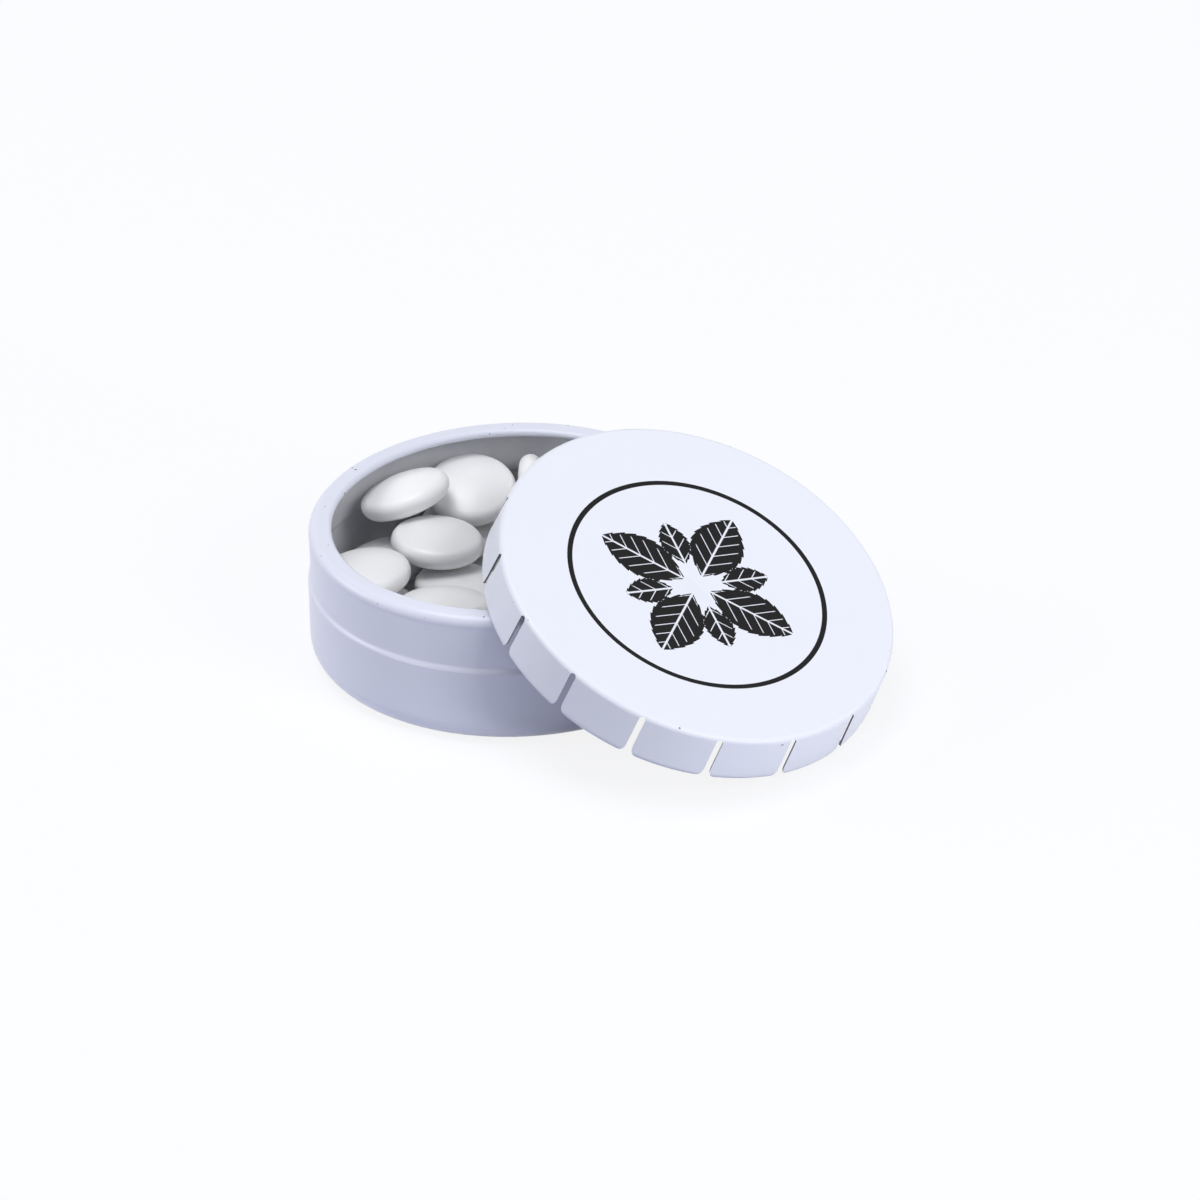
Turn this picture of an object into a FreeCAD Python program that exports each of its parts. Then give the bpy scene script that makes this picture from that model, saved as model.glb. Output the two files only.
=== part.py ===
import FreeCAD, Part
import math
import os
import re
import Sketcher

# A round click-shut mint tin standing open: a can drawn from one sheet with its rim rolled inward, a
# pressed lid whose skirt is slit into spring tabs, and loose mints. The lid lies as it does when it has
# just been taken off: two of its tabs sit on the rim and its low edge on the table.
# Origin: centre of the can's base. Z is up, and the lid leans towards +X.

# Driving sizes, in millimetres and degrees
sizes = {
    "sheet_gauge": 0.2,       # tinplate of the can and the lid
    "can_height": 15.9,
    "body_radius": 23.25,     # can below the step
    "corner_radius": 2.6,     # bend between base and wall
    "neck_height": 6.5,       # from the step to the top of the rim
    "step_depth": 0.3,        # how far the neck is drawn in
    "step_bend": 0.3,         # inside radius of the step's two bends
    "rim_lip": 0.05,          # how far the rim stands out from the neck
    "rim_bend": 0.7,          # inside radius of the two bends under the lip
    "rim_roll": 1.0,          # outer radius of the rolled rim
    "rim_flat": 1.15,         # level stretch on top of the rim
    "rim_turn": 0.45,         # radius at the mouth, where the sheet turns down
    "rim_curl": 60,           # turn of the sheet's edge past the inside of the mouth
    "lid_clearance": 0.04,    # between the rim and the inside of the lid
    "skirt_clearance": 0.25,  # between the step and the tabs of a closed lid
    "dish_depth": 0.35,       # sag of the lid's panel in its open state
    "shoulder_radius": 0.6,
    "tab_flare": 2,           # the tabs spread while the panel sags
    "hem_radius": 1.0,        # tuck at the foot of each tab
    "hem_turn": 65,
    "tab_count": 16,
    "slit_width": 0.75,
    "slit_land": 0.05,        # metal left between a slit's end and the panel
    "tab_corner": 1.6,
    "lid_lean": 26.1,
    "lid_turn": 1.7,          # of the nearest slit, from straight downhill
    "mint_diameter": 10.5,
    "mint_thickness": 4.1,
    "mint_band": 1.6,         # height of the straight side
    "mint_edge": 1.2,
    "rest_gap": 0.12,         # left where one piece lies on another
    "table_gap": 0.3,         # left under the lid's low edge
}

# The mints in the order in which they fell, as (bearing, reach, tilt, lean): the bearing is seen from the
# can's axis, a reach of 1 is against the wall, and the mint's own axis tilts towards the bearing "lean".
# The floor's rings lie flat and hold as many as fit side by side, given as (reach, bearing of the first).
floor_rings = [(0.985, 14), (0.37, 40)]
loose_mints = [
    (148, 0.97, 8, -60),
    (190, 0.97, 14, -160),
    (230, 0.97, 10, 205),
    (270, 0.97, 6, 110),
    (309, 0.97, 5, 0),
    (349, 0.97, 6, 150),
    (27, 0.97, 7, 190),
    (65, 0.97, 6, -100),
    (207, 0.36, 9, 60),
    (327, 0.36, 7, 120),
    (87, 0.36, 8, -80),
    (119, 0.99, 78, 40),
    (98, 0.97, 58, 20),
    (145, 0.98, 17, -50),
    (188, 0.58, 6, 60),
    (226, 0.98, 6, 200),
    (174, 0.98, 20, -170),
    (266, 0.68, 11, 120),
    (321, 0.68, 9, 60),
    (17, 0.68, 8, 200),
]

doc = FreeCAD.newDocument("mint_tin")
sheet = doc.addObject("Spreadsheet::Sheet", "Sizes")
for row, (alias, amount) in enumerate(sizes.items(), start=1):
    sheet.set(f"A{row}", alias)
    sheet.set(f"B{row}", str(amount))
    sheet.setAlias(f"B{row}", alias)
doc.recompute()

alias_pattern = re.compile(r"\b(" + "|".join(sizes) + r")\b")


def bound(text):
    """An expression in which each size is read from the sheet."""
    return alias_pattern.sub(r"Sizes.\1", text)


def number(text):
    """The value of an expression, in millimetres or degrees."""
    found = sheet.evalExpression(bound(text))
    return float(getattr(found, "Value", found))


def origin_feature(body, role):
    for feature in body.Origin.OriginFeatures:
        if feature.Role == role:
            return feature


def new_sketch(body, name, plane):
    sketch = body.newObject("Sketcher::SketchObject", name)
    sketch.AttachmentSupport = [(origin_feature(body, plane), "")]
    sketch.MapMode = "FlatFace"
    return sketch


def fix_point(sketch, geometry, end, x, y):
    """Hold one end of a line or an arc at the place that two expressions give."""
    for direction, text in (("DistanceX", x), ("DistanceY", y)):
        index = sketch.addConstraint(Sketcher.Constraint(direction, geometry, end, number(text)))
        sketch.setExpression(f"Constraints[{index}]", bound(text))


def draw_outline(sketch, corners):
    """A closed outline of lines and arcs.

    Each corner is (x, y, bend): bend is None for a straight run to the next corner, or the radius of the
    arc to it and the side to which that arc turns, "left" or "right".
    """
    places = [FreeCAD.Vector(number(x), number(y), 0) for x, y, bend in corners]
    ends = []
    for here, (x, y, bend) in enumerate(corners):
        start = places[here]
        finish = places[(here + 1) % len(places)]
        if bend is None:
            geometry = sketch.addGeometry(Part.LineSegment(start, finish), False)
            first = 1
        else:
            radius, side = bend
            chord = finish - start
            outward = FreeCAD.Vector(chord.y, -chord.x, 0).normalize() * (1 if side == "left" else -1)
            swell = number(radius) - math.sqrt(number(radius) ** 2 - chord.Length ** 2 / 4)
            crown = (start + finish) / 2 + outward * swell
            geometry = sketch.addGeometry(Part.Arc(start, crown, finish), False)
            first = 1 if side == "left" else 2
            index = sketch.addConstraint(Sketcher.Constraint("Radius", geometry, number(radius)))
            sketch.setExpression(f"Constraints[{index}]", bound(radius))
        fix_point(sketch, geometry, first, x, y)
        ends.append((geometry, first, 3 - first))
    for here, (geometry, first, last) in enumerate(ends):
        following = ends[(here + 1) % len(ends)]
        sketch.addConstraint(Sketcher.Constraint("Coincident", geometry, last, following[0], following[1]))


def bent_sheet(path, side):
    """The closed outline of a sheet that follows a path of straight runs and tangent bends.

    The path is the sheet's outer face, a list of (x, y, heading, bend), and the metal lies on the named
    side of it.
    """
    across, along = ("-", "+") if side == "left" else ("+", "-")
    other_way = {"left": "right", "right": "left"}
    corners = [(x, y, bend) for x, y, heading, bend in path]
    for here in range(len(path) - 1, -1, -1):
        x, y, heading, bend = path[here]
        back = path[here - 1][3] if here > 0 else None
        if back is not None:
            radius, turn = back
            change = "-" if turn == side else "+"
            back = (f"{radius} {change} sheet_gauge", other_way[turn])
        corners.append((f"{x} {across} sheet_gauge * sin({heading})",
                        f"{y} {along} sheet_gauge * cos({heading})", back))
    return corners


def revolved(body, sketch, name):
    """A full turn of the sketch about the body's own axis."""
    solid = body.newObject("PartDesign::Revolution", name)
    solid.Profile = sketch
    solid.ReferenceAxis = (sketch, ["V_Axis"])
    solid.Angle = 360
    doc.recompute()
    return solid


# Sizes that more than one piece uses
neck_radius = "(body_radius - step_depth)"
rim_radius = f"({neck_radius} + rim_lip)"
roll_outer = f"({rim_radius} - rim_roll)"
roll_inner = f"({rim_radius} - rim_roll - rim_flat)"
roll_level = "(can_height - rim_roll)"
mouth_level = "(can_height - rim_turn)"
mouth_radius = f"({roll_inner} - rim_turn)"
lid_height = "(neck_height + sheet_gauge - skirt_clearance)"
lid_radius = f"({rim_radius} + lid_clearance + sheet_gauge)"
lid_crest = f"({lid_radius} - shoulder_radius)"
flare = "(tab_flare * 1 deg)"
tuck = "(hem_turn * 1 deg)"
skirt_top = f"({lid_height} - shoulder_radius + shoulder_radius * sin({flare}))"
skirt_foot = f"(hem_radius * sin({tuck}) + hem_radius * sin({flare}))"
skirt_start = f"({lid_crest} + shoulder_radius * cos({flare}))"
skirt_end = f"({skirt_start} + ({skirt_top} - {skirt_foot}) * tan({flare}))"
hem_centre = f"({skirt_end} - hem_radius * cos({flare}))"
hem_edge = f"({hem_centre} + hem_radius * cos({tuck}))"
cap_rise = "((mint_thickness - mint_band) / 2)"
cap_radius = f"(((mint_diameter / 2) ^ 2 + {cap_rise} ^ 2) / (2 * {cap_rise}))"


def make_can():
    """The can: flat base, wall with a step to a narrower neck, and a rim rolled inward."""
    step_level = "(can_height - neck_height)"
    step_round = "(step_bend + sheet_gauge)"
    step_turn = f"acos(1 - step_depth / (2 * {step_round}))"
    step_half = f"{step_round} * sin({step_turn})"
    lip_round = "(rim_bend + sheet_gauge)"
    lip_turn = f"acos(1 - rim_lip / (2 * {lip_round}))"
    lip_half = f"{lip_round} * sin({lip_turn})"
    path = [
        ("0", "0", "0 deg", None),
        ("body_radius - corner_radius", "0", "0 deg", ("corner_radius", "left")),
        ("body_radius", "corner_radius", "90 deg", None),
        ("body_radius", f"{step_level} - {step_half}", "90 deg", (step_round, "left")),
        ("body_radius - step_depth / 2", step_level, f"90 deg + {step_turn}", (step_round, "right")),
        (neck_radius, f"{step_level} + {step_half}", "90 deg", None),
        (neck_radius, f"{roll_level} - 2 * {lip_half}", "90 deg", (lip_round, "right")),
        (f"{neck_radius} + rim_lip / 2", f"{roll_level} - {lip_half}", f"90 deg - {lip_turn}",
         (lip_round, "left")),
        (rim_radius, roll_level, "90 deg", ("rim_roll", "left")),
        (roll_outer, "can_height", "180 deg", None),
        (roll_inner, "can_height", "180 deg", ("rim_turn", "left")),
        (mouth_radius, mouth_level, "270 deg", ("rim_turn", "left")),
        (f"{roll_inner} - rim_turn * cos(rim_curl * 1 deg)",
         f"{mouth_level} - rim_turn * sin(rim_curl * 1 deg)", "270 deg + rim_curl * 1 deg", None),
    ]
    body = doc.addObject("PartDesign::Body", "can")
    sketch = new_sketch(body, "can_section", "XZ_Plane")
    draw_outline(sketch, bent_sheet(path, "left"))
    revolved(body, sketch, "can_drawn")
    return body


def make_lid():
    """The lid: sagging panel, round shoulder and a flared skirt slit into tabs with tucked feet.

    Its own origin is on its axis, level with the feet of the tabs.
    """
    rise = f"(2 * atan(dish_depth / {lid_crest}))"
    dish_radius = f"{lid_crest} / sin({rise}) - shoulder_radius"
    path = [
        ("0", f"{lid_height} - dish_depth", "0 deg", (dish_radius, "left")),
        (f"{lid_crest} - shoulder_radius * sin({rise})",
         f"{lid_height} - shoulder_radius + shoulder_radius * cos({rise})", rise,
         ("shoulder_radius", "right")),
        (skirt_start, skirt_top, f"{flare} - 90 deg", None),
        (skirt_end, skirt_foot, f"{flare} - 90 deg", ("hem_radius", "right")),
        (hem_edge, "0", f"-90 deg - {tuck}", None),
    ]
    body = doc.addObject("PartDesign::Body", "lid")
    sketch = new_sketch(body, "lid_section", "XZ_Plane")
    draw_outline(sketch, bent_sheet(path, "right"))
    pressed = revolved(body, sketch, "lid_pressed")

    # One slit, seen from outside: round at the top, and opening at the foot round the tabs' corners
    half = "slit_width / 2"
    round_level = f"({lid_height} - sheet_gauge - slit_land - {half})"
    slit_outline = new_sketch(body, "slit_outline", "YZ_Plane")
    slit_outline.setExpression("AttachmentOffset.Base.z", bound(lid_crest))
    draw_outline(slit_outline, [
        (half, round_level, (half, "left")),
        ("0", f"{round_level} + {half}", (half, "left")),
        (f"0 - {half}", round_level, None),
        (f"0 - {half}", "tab_corner", ("tab_corner", "right")),
        (f"0 - {half} - tab_corner", "0", None),
        (f"0 - {half} - tab_corner", "0 - tab_corner", None),
        (f"{half} + tab_corner", "0 - tab_corner", None),
        (f"{half} + tab_corner", "0", ("tab_corner", "right")),
        (half, "tab_corner", None),
    ])
    slit = body.newObject("PartDesign::Pocket", "slit")
    slit.Profile = slit_outline
    slit.Type = "Length"
    slit.setExpression("Length", bound(f"shoulder_radius + {lid_height}"))
    slit.Reversed = True
    doc.recompute()
    slits = body.newObject("PartDesign::PolarPattern", "slits")
    slits.Originals = [slit]
    slits.Axis = (origin_feature(body, "Z_Axis"), [""])
    slits.Angle = 360
    slits.setExpression("Occurrences", bound("tab_count"))
    body.Tip = slits
    doc.recompute()
    print("lid volume before and after the slits:", pressed.Shape.Volume, slits.Shape.Volume)
    return body


def leaning_lid():
    """The lid's place: low edge on the table, slid in until two tabs all but touch the rim."""
    lean = math.radians(number("lid_lean"))
    edge = number(hem_edge)
    # Deepest point of the hem below the lid's own origin, which goes on the table
    short_of_edge = max(0, math.pi / 2 - lean - math.radians(number("hem_turn")))
    deepest = (number(hem_centre) * math.sin(lean)
               - number(f"hem_radius * sin({tuck})") * math.cos(lean)
               + number("hem_radius") * math.cos(short_of_edge))
    height = deepest + number("table_gap")
    top = number("can_height")

    def gap_to_roll(aside, level, roll):
        # Below the roll the wall of the can stands in the way
        return aside - roll if level < 0 else math.hypot(aside, level) - roll

    def gap_to_rim(place):
        gaps = []
        for step in range(181):
            turn = math.radians(step)
            x = place + edge * math.cos(turn) * math.cos(lean)
            y = edge * math.sin(turn)
            z = height - edge * math.cos(turn) * math.sin(lean)
            out = math.hypot(x, y)
            if out > number(roll_outer):
                gaps.append(gap_to_roll(out - number(roll_outer), z - number(roll_level), number("rim_roll")))
            elif out < number(roll_inner):
                gaps.append(gap_to_roll(number(roll_inner) - out, z - number(mouth_level), number("rim_turn")))
            else:
                gaps.append(z - top)
        return min(gaps)

    near, far = 0, 3 * edge
    while far - near > number("rest_gap") / 100:
        middle = (near + far) / 2
        if gap_to_rim(middle) < number("rest_gap"):
            near = middle
        else:
            far = middle
    turned = FreeCAD.Rotation(FreeCAD.Vector(0, 1, 0), number("lid_lean"))
    spun = FreeCAD.Rotation(FreeCAD.Vector(0, 0, 1), number("lid_turn"))
    return FreeCAD.Placement(FreeCAD.Vector(far, 0, height), turned.multiply(spun))


def make_mint():
    """One mint: a tablet with two domed faces and a short straight side, its centre at its origin."""
    edge = "mint_diameter / 2"
    body = doc.addObject("PartDesign::Body", "mint")
    sketch = new_sketch(body, "mint_section", "XZ_Plane")
    draw_outline(sketch, [
        ("0", "0 - mint_thickness / 2", (cap_radius, "left")),
        (edge, "0 - mint_band / 2", None),
        (edge, "mint_band / 2", (cap_radius, "left")),
        ("0", "mint_thickness / 2", None),
    ])
    pressed = revolved(body, sketch, "mint_pressed")
    rims = []
    for index, line in enumerate(pressed.Shape.Edges, start=1):
        if not line.Degenerated and line.isClosed():
            rims.append(f"Edge{index}")
    rounded = body.newObject("PartDesign::Fillet", "mint_rounded")
    rounded.Base = (pressed, rims)
    rounded.setExpression("Radius", bound("mint_edge"))
    body.Tip = rounded
    doc.recompute()
    return body


class Tablet:
    """A mint in its place, for finding how low it can lie."""

    def __init__(self, centre, axis):
        self.centre = centre
        self.axis = axis
        turn = FreeCAD.Rotation(FreeCAD.Vector(0, 0, 1), axis)
        self.placement = FreeCAD.Placement(centre, turn)
        self.skin = [self.placement.multVec(point) for point in tablet_skin]

    def holds(self, point):
        """Whether a point is in the tablet or within the rest gap of it."""
        away = point - self.centre
        along = abs(away.dot(self.axis))
        across_squared = away.dot(away) - along * along
        if across_squared > (tablet_radius + rest_gap) ** 2:
            return False
        deep = along + tablet_cap - tablet_half
        return deep * deep + across_squared < (tablet_cap + rest_gap) ** 2

    def meets(self, other):
        if self.centre.distanceToPoint(other.centre) > 2 * (tablet_radius + tablet_half):
            return False
        return any(other.holds(point) for point in self.skin) or any(self.holds(p) for p in other.skin)


def skin_points():
    """Points spread over a mint's own surface: rings on both domes and one round its side."""
    points = [FreeCAD.Vector(0, 0, tablet_half), FreeCAD.Vector(0, 0, -tablet_half)]
    for share in (0.35, 0.65, 0.85, 1):
        across = share * tablet_radius
        height = tablet_half - tablet_cap + math.sqrt(tablet_cap ** 2 - across ** 2)
        levels = (height, -height) if share < 1 else (height, 0, -height)
        for step in range(24):
            turn = math.radians(15 * step)
            for level in levels:
                points.append(FreeCAD.Vector(across * math.cos(turn), across * math.sin(turn), level))
    return points


def tablet_reach(axis, direction):
    """How far a tablet reaches from its centre in a direction."""
    cosine = abs(axis.dot(direction))
    sine = math.sqrt(max(0, 1 - cosine * cosine))
    if sine < tablet_radius / tablet_cap:
        return tablet_cap - (tablet_cap - tablet_half) * cosine
    return tablet_radius * sine + number("mint_band") / 2 * cosine


def settle(bearing, reach, tilt, lean, below):
    """Let a mint down onto the floor of the can or the mints below it."""
    up = FreeCAD.Vector(0, 0, 1)
    out = FreeCAD.Rotation(up, bearing).multVec(FreeCAD.Vector(1, 0, 0))
    lean_way = FreeCAD.Rotation(up, lean).multVec(FreeCAD.Vector(1, 0, 0))
    axis = up * math.cos(math.radians(tilt)) + lean_way * math.sin(math.radians(tilt))
    place = out * (reach * (neck_wall - rest_gap - tablet_reach(axis, out)))
    floor = number("sheet_gauge") + rest_gap + tablet_reach(axis, up)

    def lowered(height):
        return Tablet(place + up * height, axis)

    def clear(height):
        tablet = lowered(height)
        return not any(tablet.meets(other) for other in below)

    coarse = tablet_half / 4
    height = floor + number("2 * can_height")
    while height > floor and clear(max(height - coarse, floor)):
        height = max(height - coarse, floor)
    blocked = max(height - coarse, floor)
    while height > floor and height - blocked > rest_gap / 20:
        middle = (height + blocked) / 2
        if clear(middle):
            height = middle
        else:
            blocked = middle
    return lowered(height)


def ring_layout(reach, start):
    """As many flat mints as fit side by side on a ring, and one where the ring is too small for two."""
    ring = reach * (neck_wall - rest_gap - tablet_radius)
    share = (tablet_radius + rest_gap / 2) / ring
    count = math.floor(math.pi / math.asin(share)) if share < 1 else 1
    return [(start + 360 * step / count, reach, 0, 0) for step in range(count)]


def under_rim(tablet):
    """Whether a mint lies clear of the rolled rim and low enough for the lid to close."""
    top = number("can_height") - rest_gap
    rim_foot = number(f"min({roll_level}; {mouth_level} - rim_turn)") - rest_gap
    mouth = number(mouth_radius) - rest_gap
    for point in tablet.skin:
        if point.z > top or (point.z > rim_foot and math.hypot(point.x, point.y) > mouth):
            return False
    return True


neck_wall = number(f"{neck_radius} - sheet_gauge")
tablet_radius = number("mint_diameter / 2")
tablet_half = number("mint_thickness / 2")
tablet_cap = number(cap_radius)
rest_gap = number("rest_gap")
tablet_skin = skin_points()

can = make_can()
lid = make_lid()
lid.Placement = leaning_lid()
mint = make_mint()

layout = []
for ring_reach, first_bearing in floor_rings:
    layout += [("floor_mint", entry) for entry in ring_layout(ring_reach, first_bearing)]
layout += [("loose_mint", entry) for entry in loose_mints]
pile = []
mints = []
counts = {"floor_mint": 0, "loose_mint": 0}
for kind, entry in layout:
    counts[kind] += 1
    tablet = settle(*entry, pile)
    if not under_rim(tablet):
        print(kind, counts[kind], "has no room under the rim")
        continue
    pile.append(tablet)
    copy = doc.addObject("App::Link", f"{kind}_{counts[kind]:02d}")
    copy.LinkedObject = mint
    copy.Placement = tablet.placement
    mints.append(copy)
doc.recompute()

for thing in doc.Objects:
    if "Invalid" in thing.State or "Error" in thing.State:
        raise RuntimeError(f"{thing.Label} did not build: {thing.State}")
os.makedirs("parts", exist_ok=True)
shapes = {piece.Label: Part.getShape(piece) for piece in [can, lid] + mints}
for label, shape in shapes.items():
    if shape.isNull() or not shape.isValid():
        raise RuntimeError(f"{label} has no sound shape")
for label, shape in shapes.items():
    shape.exportStep(f"parts/{label}.step")
print("lid at", lid.Placement.Base)
print("tops of the mints", [round(max(point.z for point in tablet.skin), 2) for tablet in pile])
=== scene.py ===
import math

import bpy
from mathutils import Matrix, Vector

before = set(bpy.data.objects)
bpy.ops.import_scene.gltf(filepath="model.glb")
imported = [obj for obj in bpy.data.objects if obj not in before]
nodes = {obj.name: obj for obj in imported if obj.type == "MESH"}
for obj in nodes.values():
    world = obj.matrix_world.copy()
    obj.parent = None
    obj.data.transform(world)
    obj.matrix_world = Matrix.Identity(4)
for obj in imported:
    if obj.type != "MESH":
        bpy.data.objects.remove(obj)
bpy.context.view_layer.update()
scene = bpy.context.scene
scene.view_settings.view_transform = "Standard"
plainWhite = (1.0, 1.0, 1.0, 1.0)
print("frame loaded:", len(nodes), "nodes")


# Camera at the photo's angle
cameraSetup = {
    "azimuth": 38.6,
    "elevation": 29.7,
    "roll": -1.8,
    "distance": 1.5,
    "frameWidth": 1200,
    "pixelsPerMetre": 8860.0,    # at the aim point
    "aim": (0.00607, 0.00763, 0.00380),
    "sensor": 36.0,
    "clip": (0.05, 20.0),
}


def awayFrom(azimuth, elevation):
    # Unit vector from the aim point to a camera or lamp, from angles in degrees
    turn = math.radians(azimuth)
    rise = math.radians(elevation)
    return Vector((math.sin(turn) * math.cos(rise), -math.cos(turn) * math.cos(rise), math.sin(rise)))


def makeCamera(setup):
    back = awayFrom(setup["azimuth"], setup["elevation"])
    data = bpy.data.cameras.new("camera")
    data.sensor_width = setup["sensor"]
    data.lens = setup["pixelsPerMetre"] * setup["distance"] * data.sensor_width / setup["frameWidth"]
    data.clip_start, data.clip_end = setup["clip"]
    camera = bpy.data.objects.new("camera", data)
    scene.collection.objects.link(camera)
    moved = Matrix.Translation(Vector(setup["aim"]) + back * setup["distance"])
    turned = (-back).to_track_quat("-Z", "Y").to_matrix().to_4x4()
    rolled = Matrix.Rotation(math.radians(setup["roll"]), 4, "Z")
    camera.matrix_world = moved @ turned @ rolled
    scene.camera = camera


makeCamera(cameraSetup)
print("camera set")


# Small helpers for the nodes of a material or a world
class Shader:
    def __init__(self, owner):
        owner.use_nodes = True
        self.owner = owner
        self.tree = owner.node_tree
        self.bsdf = self.tree.nodes.get("Principled BSDF")

    def add(self, kind, **settings):
        node = self.tree.nodes.new(kind)
        for key, value in settings.items():
            setattr(node, key, value)
        return node

    def join(self, source, target):
        self.tree.links.new(source, target)

    def feed(self, socket, value):
        if isinstance(value, bpy.types.NodeSocket):
            self.join(value, socket)
        else:
            socket.default_value = value

    def calc(self, operation, *values):
        node = self.add("ShaderNodeMath", operation=operation)
        for socket, value in zip(node.inputs, values):
            self.feed(socket, value)
        return node.outputs[0]

    def plus(self, first, second):
        return self.calc("ADD", first, second)

    def minus(self, first, second):
        return self.calc("SUBTRACT", first, second)

    def times(self, first, second):    # of two masks: where both are
        return self.calc("MULTIPLY", first, second)

    def either(self, first, second):
        return self.calc("MAXIMUM", first, second)

    def above(self, value, limit):
        return self.calc("GREATER_THAN", value, limit)

    def below(self, value, limit):
        return self.calc("LESS_THAN", value, limit)

    def length(self, x, y):
        return self.calc("SQRT", self.plus(self.times(x, x), self.times(y, y)))

    def ramp(self, value, low, high):    # 0 below low, 1 above high, smooth between
        node = self.add("ShaderNodeMapRange", interpolation_type="SMOOTHSTEP")
        self.feed(node.inputs["Value"], value)
        node.inputs["From Min"].default_value = low
        node.inputs["From Max"].default_value = high
        return node.outputs["Result"]

    def blendColour(self, factor, first, second):
        node = self.add("ShaderNodeMix", data_type="RGBA")
        colours = [s for s in node.inputs if s.type == "RGBA"]    # they share their names with other sockets
        self.feed(node.inputs[0], factor)
        self.feed(colours[0], first)
        self.feed(colours[1], second)
        return [s for s in node.outputs if s.type == "RGBA"][0]

    def blendValue(self, factor, first, second):
        node = self.add("ShaderNodeMapRange")
        self.feed(node.inputs["Value"], factor)
        self.feed(node.inputs["To Min"], first)
        self.feed(node.inputs["To Max"], second)
        return node.outputs["Result"]

    def parts(self, vector):
        node = self.add("ShaderNodeSeparateXYZ")
        self.join(vector, node.inputs[0])
        return node.outputs

    def place(self, foot=(0, 0, 0), rotation=(0, 0, 0), vector=None):
        node = self.add("ShaderNodeMapping", vector_type="TEXTURE")
        if vector is None:
            vector = self.add("ShaderNodeTexCoord").outputs["Object"]
        self.join(vector, node.inputs["Vector"])
        node.inputs["Location"].default_value = foot
        node.inputs["Rotation"].default_value = rotation
        return node.outputs[0]

    def normal(self):
        return self.add("ShaderNodeNewGeometry").outputs["Normal"]

    def noise(self, vector, scale, detail, roughness=0.5):
        node = self.add("ShaderNodeTexNoise")
        self.join(vector, node.inputs["Vector"])
        node.inputs["Scale"].default_value = scale
        node.inputs["Detail"].default_value = detail
        node.inputs["Roughness"].default_value = roughness
        return node.outputs["Fac"]

    def bump(self, height, distance, strength=1.0):
        node = self.add("ShaderNodeBump")
        self.join(height, node.inputs["Height"])
        node.inputs["Distance"].default_value = distance
        node.inputs["Strength"].default_value = strength
        self.join(node.outputs[0], self.bsdf.inputs["Normal"])

    def backdropRays(self):    # what the camera sees, and what gloss and glass show
        rays = self.add("ShaderNodeLightPath").outputs
        return self.either(rays["Is Camera Ray"], self.either(rays["Is Glossy Ray"], rays["Is Transmission Ray"]))


# Enamel on tinplate, shared by the can and the lid
enamel = {
    "roughness": 0.30,
    "cloud": {"scale": 60.0, "detail": 3.0},    # slow change of tone
    "peel": {"scale": 2600.0, "detail": 1.0},
    "peelDepth": 0.0000012,
    "chip": {"scale": 1300.0, "detail": 1.0},
    "chipLimit": 0.775,
    "cutSteel": (0.20, 0.20, 0.22, 1.0),
    "tin": (0.74, 0.745, 0.77, 1.0),
    "tinDark": (0.66, 0.665, 0.69, 1.0),
    "tinGrain": {"scale": 900.0, "detail": 4.0, "roughness": 0.6},
    "tinMetal": 0.15,
    "tinRoughness": (0.30, 0.46),
    "inward": -0.15,           # the inside of a wall looks further in than this
    "level": 0.5,              # a floor or a panel looks further up or down than this
    "leastRadius": 0.0001,     # keeps the axis itself from dividing by nothing
}


def aroundAxis(shader, point, normal):
    # Where a face is, and how far it looks outwards, along the wall and up
    x, y, z = shader.parts(point)
    nx, ny, nz = shader.parts(normal)
    radius = shader.length(x, y)
    safeRadius = shader.calc("MAXIMUM", radius, enamel["leastRadius"])
    outward = shader.plus(shader.times(x, nx), shader.times(y, ny))
    along = shader.minus(shader.times(x, ny), shader.times(y, nx))
    return {
        "x": x, "y": y, "height": z, "radius": radius, "up": nz,
        "outward": shader.calc("DIVIDE", outward, safeRadius),
        "along": shader.calc("ABSOLUTE", shader.calc("DIVIDE", along, safeRadius)),
    }


def enamelColours(shader, point, finish):
    # White enamel with a slow change of tone, and the tinplate under it
    cloud = shader.noise(point, **enamel["cloud"])
    white = shader.blendColour(cloud, finish["deep"], finish["white"])
    grain = shader.noise(point, **enamel["tinGrain"])
    tin = shader.blendColour(grain, enamel["tinDark"], enamel["tin"])
    return white, tin, grain


def chips(shader, point, height, low):
    # Tiny chips in the enamel where the sheet bends hardest
    spots = shader.above(shader.noise(point, **enamel["chip"]), enamel["chipLimit"])
    return shader.times(spots, shader.above(height, low))


def finishEnamel(shader, point, colour, bare, grain, specular):
    sockets = shader.bsdf.inputs
    shader.join(colour, sockets["Base Color"])
    shader.join(shader.times(bare, enamel["tinMetal"]), sockets["Metallic"])
    bareRoughness = shader.blendValue(grain, *enamel["tinRoughness"])
    shader.join(shader.blendValue(bare, enamel["roughness"], bareRoughness), sockets["Roughness"])
    sockets["Specular IOR Level"].default_value = specular
    shader.bump(shader.noise(point, **enamel["peel"]), enamel["peelDepth"])


# Can: enamel outside and over the rim, lacquered tin inside
canFinish = {
    "white": (0.75, 0.765, 0.865, 1.0),
    "deep": (0.72, 0.735, 0.84, 1.0),
    "specular": 0.3,
    "floorBelow": 0.003,       # the inside of the base lies below this
    "rimAbove": 0.0149,        # the enamel ends inside the mouth at this height
    "chipsAbove": 0.0152,
}


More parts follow.
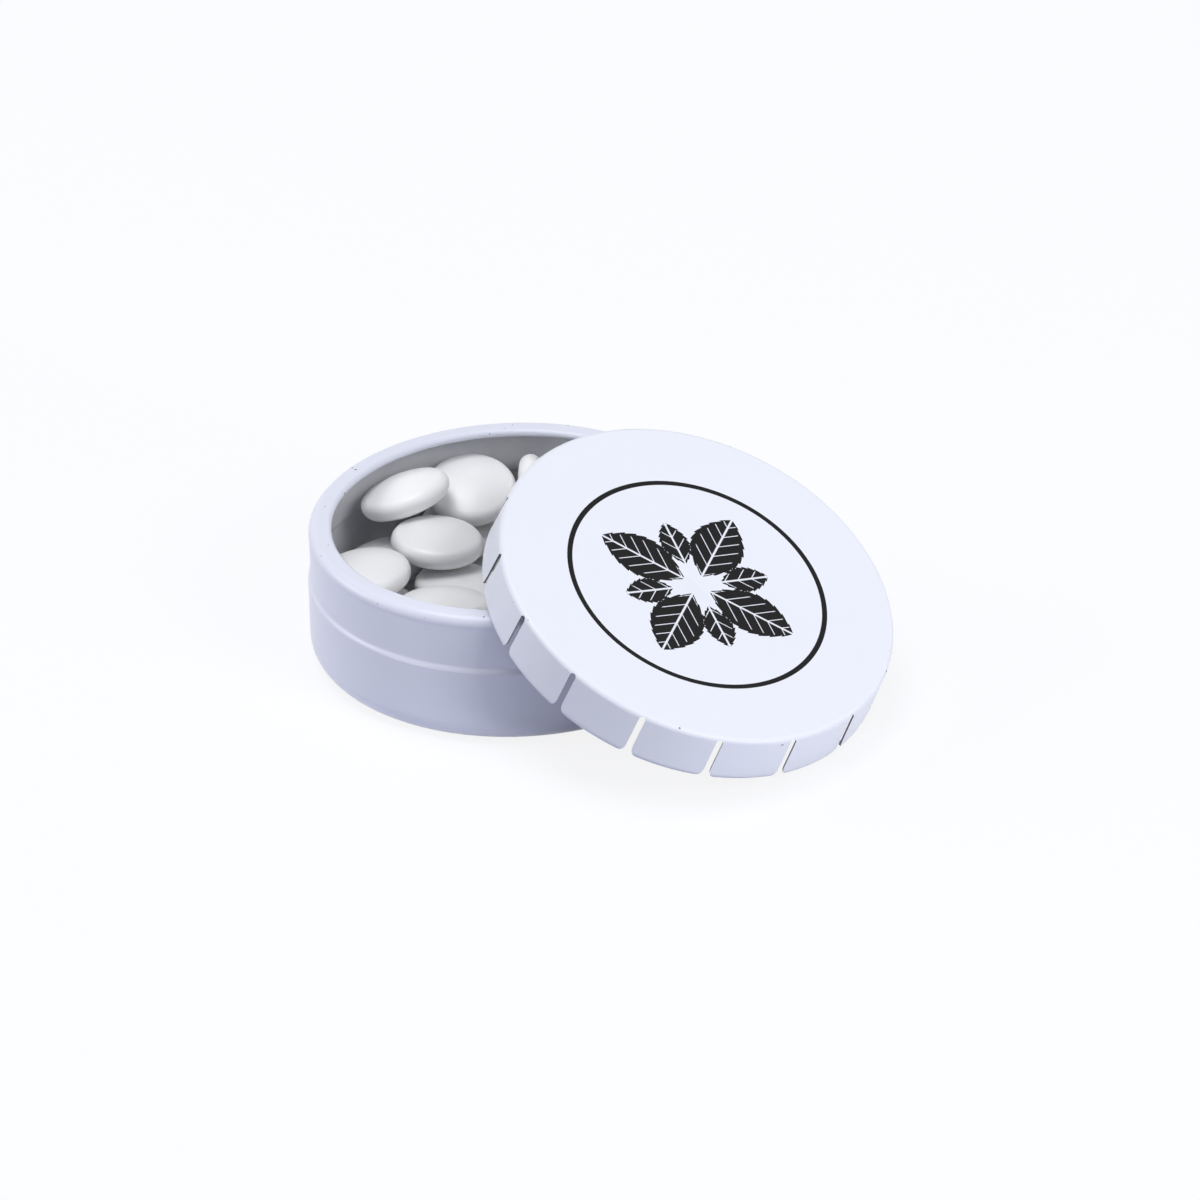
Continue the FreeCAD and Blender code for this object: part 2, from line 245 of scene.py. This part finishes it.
def makeCanEnamel(finish):
    shader = Shader(bpy.data.materials.new("canEnamel"))
    point = shader.place()
    face = aroundAxis(shader, point, shader.normal())
    white, tin, grain = enamelColours(shader, point, finish)
    wallInside = shader.below(face["outward"], enamel["inward"])
    floorInside = shader.times(shader.above(face["up"], enamel["level"]),
                               shader.below(face["height"], finish["floorBelow"]))
    belowRim = shader.below(face["height"], finish["rimAbove"])
    bare = shader.times(shader.either(wallInside, floorInside), belowRim)
    colour = shader.blendColour(bare, white, tin)
    chipped = chips(shader, point, face["height"], finish["chipsAbove"])
    colour = shader.blendColour(chipped, colour, enamel["cutSteel"])
    finishEnamel(shader, point, colour, bare, grain, finish["specular"])
    return shader.owner


# Lid: enamel with a print on its face, painted shade on the tucked feet of the tabs, lacquered tin inside, bare
# steel at the cut edges
lidFinish = {
    "foot": (0.02335, 0.0, 0.01035),         # foot of the lid's own axis
    "lean": 26.1,                            # of that axis about Y, in degrees
    "white": (0.775, 0.793, 0.857, 1.0),
    "deep": (0.752, 0.77, 0.838, 1.0),
    "tuckPaintedShade": (0.56, 0.575, 0.68, 1.0),    # painted shade on the down-facing tucked feet of the tabs
    "tuckDown": (0.05, 0.5),                 # how far such a foot looks down
    "specular": 0.15,                        # low, so that the ink stays black
    "panelRadius": 0.0222,
    "cutAlong": 0.72,                        # a slit's cut edge looks further along the wall than this
    "chipsAbove": 0.0056,
    "chipsUp": 0.97,                         # the flat panel looks further up than this, and has no chips
    "ink": (0.004, 0.004, 0.005, 1.0),
    "inkUp": 0.8,                            # the printed face looks further up than this
}

# Print on the lid: a rosette of leaves in a thin ring
leafPrint = {
    "bigLeaf": {"count": 4, "turn": 20.0, "start": 0.0015, "end": 0.0122, "width": 0.0032},
    "smallLeaf": {"count": 4, "turn": 65.0, "start": 0.0030, "end": 0.0094, "width": 0.0019},
    "teeth": 9.0,
    "toothDepth": 0.00022,
    "midVein": (0.00008, 0.00016),    # half width, from bare to inked
    "sideVeins": 575.0,               # in a metre
    "sideVein": (0.06, 0.11),         # share of their spacing, from bare to inked
    "veinEnd": (0.72, 0.8),           # share of the leaf's half width at which they end
    "leastHalf": 0.00001,
    "ringRadius": 0.0150,
    "ringWidth": 0.00032,
    "edge": 0.00003,
}


def leafMask(shader, x, y, leaf):
    # Fold the lid's face into one leaf's sector, then draw that leaf along its own axis
    sector = 2 * math.pi / leaf["count"]
    radius = shader.length(x, y)
    bearing = shader.minus(shader.calc("ARCTAN2", y, x), math.radians(leaf["turn"]))
    wrapped = shader.calc("FLOORED_MODULO", shader.plus(bearing, sector / 2), sector)
    folded = shader.minus(wrapped, sector / 2)
    along = shader.times(radius, shader.calc("COSINE", folded))
    across = shader.calc("ABSOLUTE", shader.times(radius, shader.calc("SINE", folded)))

    # Outline: a bow that is widest halfway along, with teeth
    share = shader.calc("DIVIDE", shader.minus(along, leaf["start"]), leaf["end"] - leaf["start"])
    bow = shader.times(shader.times(share, shader.minus(1.0, share)), 4.0)
    teeth = shader.times(shader.calc("FRACT", shader.times(share, leafPrint["teeth"])), leafPrint["toothDepth"])
    half = shader.minus(shader.times(bow, leaf["width"]), teeth)
    inside = shader.ramp(shader.minus(half, across), 0.0, leafPrint["edge"])

    # Veins left bare: one along the middle, and slanted ones that end near the outline
    midVein = shader.ramp(across, *leafPrint["midVein"])
    slanted = shader.calc("FRACT", shader.times(shader.minus(along, across), leafPrint["sideVeins"]))
    sideVein = shader.ramp(slanted, *leafPrint["sideVein"])
    fromMiddle = shader.calc("DIVIDE", across, shader.calc("MAXIMUM", half, leafPrint["leastHalf"]))
    nearOutline = shader.ramp(fromMiddle, *leafPrint["veinEnd"])
    return shader.times(inside, shader.times(midVein, shader.either(sideVein, nearOutline)))


def printMask(shader, face):
    fromRing = shader.calc("ABSOLUTE", shader.minus(face["radius"], leafPrint["ringRadius"]))
    ring = shader.ramp(shader.minus(leafPrint["ringWidth"], fromRing), 0.0, leafPrint["edge"])
    leaves = shader.either(leafMask(shader, face["x"], face["y"], leafPrint["bigLeaf"]),
                           leafMask(shader, face["x"], face["y"], leafPrint["smallLeaf"]))
    return shader.either(ring, leaves)


def makeLidEnamel(finish):
    shader = Shader(bpy.data.materials.new("lidEnamel"))
    rotation = (0.0, math.radians(finish["lean"]), 0.0)
    point = shader.place(finish["foot"], rotation)
    normal = shader.place((0, 0, 0), rotation, shader.normal())
    face = aroundAxis(shader, point, normal)
    white, tin, grain = enamelColours(shader, point, finish)
    skirtInside = shader.below(face["outward"], enamel["inward"])
    panelInside = shader.times(shader.below(face["up"], -enamel["level"]),
                               shader.below(face["radius"], finish["panelRadius"]))
    inside = shader.either(skirtInside, panelInside)
    cutEdge = shader.above(face["along"], finish["cutAlong"])
    # Painted shade: outside faces of the lid that look down, such as the tucked feet of the tabs, are darkened
    # toward a lavender tone
    paintedShadeUnder = shader.ramp(shader.times(face["up"], -1.0), *finish["tuckDown"])
    colour = shader.blendColour(inside, shader.blendColour(paintedShadeUnder, white, finish["tuckPaintedShade"]), tin)
    chipped = shader.times(chips(shader, point, face["height"], finish["chipsAbove"]),
                           shader.below(face["up"], finish["chipsUp"]))
    colour = shader.blendColour(shader.either(cutEdge, chipped), colour, enamel["cutSteel"])
    ink = shader.times(printMask(shader, face), shader.above(face["up"], finish["inkUp"]))
    colour = shader.blendColour(ink, colour, finish["ink"])
    finishEnamel(shader, point, colour, shader.either(inside, cutEdge), grain, finish["specular"])
    return shader.owner


# Pressed mints, a little powdery
mintFinish = {
    "white": (0.90, 0.905, 0.915, 1.0),
    "warm": (0.88, 0.876, 0.868, 1.0),
    "cloud": {"scale": 260.0, "detail": 4.0, "roughness": 0.6},
    "powder": {"scale": 3500.0, "detail": 4.0, "roughness": 0.65},
    "powderDepth": 0.000012,
    "powderStrength": 0.5,
    "roughness": (0.32, 0.50),
    "sockets": {
        "Subsurface Weight": 0.4,
        "Subsurface Radius": (1.0, 0.9, 0.75),
        "Subsurface Scale": 0.0012,
        "Coat Weight": 0.2,
        "Coat Roughness": 0.25,
    },
}


def makeMintSugar(finish):
    shader = Shader(bpy.data.materials.new("mintSugar"))
    point = shader.place()
    cloud = shader.noise(point, **finish["cloud"])
    powder = shader.noise(point, **finish["powder"])
    sockets = shader.bsdf.inputs
    shader.join(shader.blendColour(cloud, finish["warm"], finish["white"]), sockets["Base Color"])
    shader.join(shader.blendValue(powder, *finish["roughness"]), sockets["Roughness"])
    for name, value in finish["sockets"].items():
        sockets[name].default_value = value
    shader.bump(powder, finish["powderDepth"], finish["powderStrength"])
    return shader.owner


finishes = {"can": makeCanEnamel(canFinish), "lid": makeLidEnamel(lidFinish)}
mintSugar = makeMintSugar(mintFinish)
for name, node in nodes.items():
    node.data.materials.clear()
    node.data.materials.append(finishes.get(name, mintSugar))
print("finishes set")


# Floor, world and lamps
stageSetup = {
    "floorSize": 3.0,
    "floorDrop": 0.00003,
    "floorColour": (0.57, 0.59, 0.70, 1.0),
    "floorRoughness": 0.9,
    "glow": 0.8,             # share of plain white in what the camera sees of the floor
    "glowStrength": 1.08,
    "worldLight": 0.20,
    "worldColour": (0.78, 0.84, 1.0, 1.0),
    "backdrop": 1.0,         # strength of the white that the camera sees of the world
    "aim": (0.012, 0.0, 0.01),
}

# Each lamp's azimuth from the camera, elevation and distance, its size and its power
lamps = {
    "topLamp": {"place": (-90.0, 80.0, 0.9), "size": 0.5, "power": 4.3},
    "keyLamp": {"place": (44.0, 38.0, 0.9), "size": 0.4, "power": 3.0},
    "lowLamp": {"place": (52.0, 8.0, 0.9), "size": 0.2, "power": 2.6},
    "sideLamp": {"place": (-98.0, 20.0, 0.9), "size": 0.5, "power": 2.8},
}


def makeFloor(setup):
    bpy.ops.object.select_all(action="DESELECT")
    bpy.ops.mesh.primitive_plane_add(size=setup["floorSize"], location=(0, 0, -setup["floorDrop"]))
    floor = bpy.context.object
    floor.name = "floor"
    shader = Shader(bpy.data.materials.new("floorPaper"))
    shader.bsdf.inputs["Base Color"].default_value = setup["floorColour"]
    shader.bsdf.inputs["Roughness"].default_value = setup["floorRoughness"]
    shader.bsdf.inputs["Specular IOR Level"].default_value = 0.0
    glow = shader.add("ShaderNodeEmission")
    glow.inputs["Color"].default_value = plainWhite
    glow.inputs["Strength"].default_value = setup["glowStrength"]
    mixed = shader.add("ShaderNodeMixShader")
    shader.join(shader.times(shader.backdropRays(), setup["glow"]), mixed.inputs[0])
    shader.join(shader.bsdf.outputs[0], mixed.inputs[1])
    shader.join(glow.outputs[0], mixed.inputs[2])
    shader.join(mixed.outputs[0], shader.tree.nodes["Material Output"].inputs["Surface"])
    floor.data.materials.append(shader.owner)


def makeWorld(setup):
    scene.world = bpy.data.worlds.new("studio")
    shader = Shader(scene.world)
    background = shader.tree.nodes["Background"].inputs
    seen = shader.backdropRays()
    shader.join(shader.blendColour(seen, setup["worldColour"], plainWhite), background["Color"])
    shader.join(shader.blendValue(seen, setup["worldLight"], setup["backdrop"]), background["Strength"])


def makeLamp(name, setup, aim):
    turn, rise, distance = setup["place"]
    back = awayFrom(cameraSetup["azimuth"] + turn, rise)
    data = bpy.data.lights.new(name, "AREA")
    data.shape = "DISK"
    data.size = setup["size"]
    data.energy = setup["power"]
    lamp = bpy.data.objects.new(name, data)
    scene.collection.objects.link(lamp)
    lamp.location = Vector(aim) + back * distance
    lamp.rotation_euler = (-back).to_track_quat("-Z", "Y").to_euler()


makeFloor(stageSetup)
makeWorld(stageSetup)
for name, lampSetup in lamps.items():
    makeLamp(name, lampSetup, stageSetup["aim"])
print("stage lit")
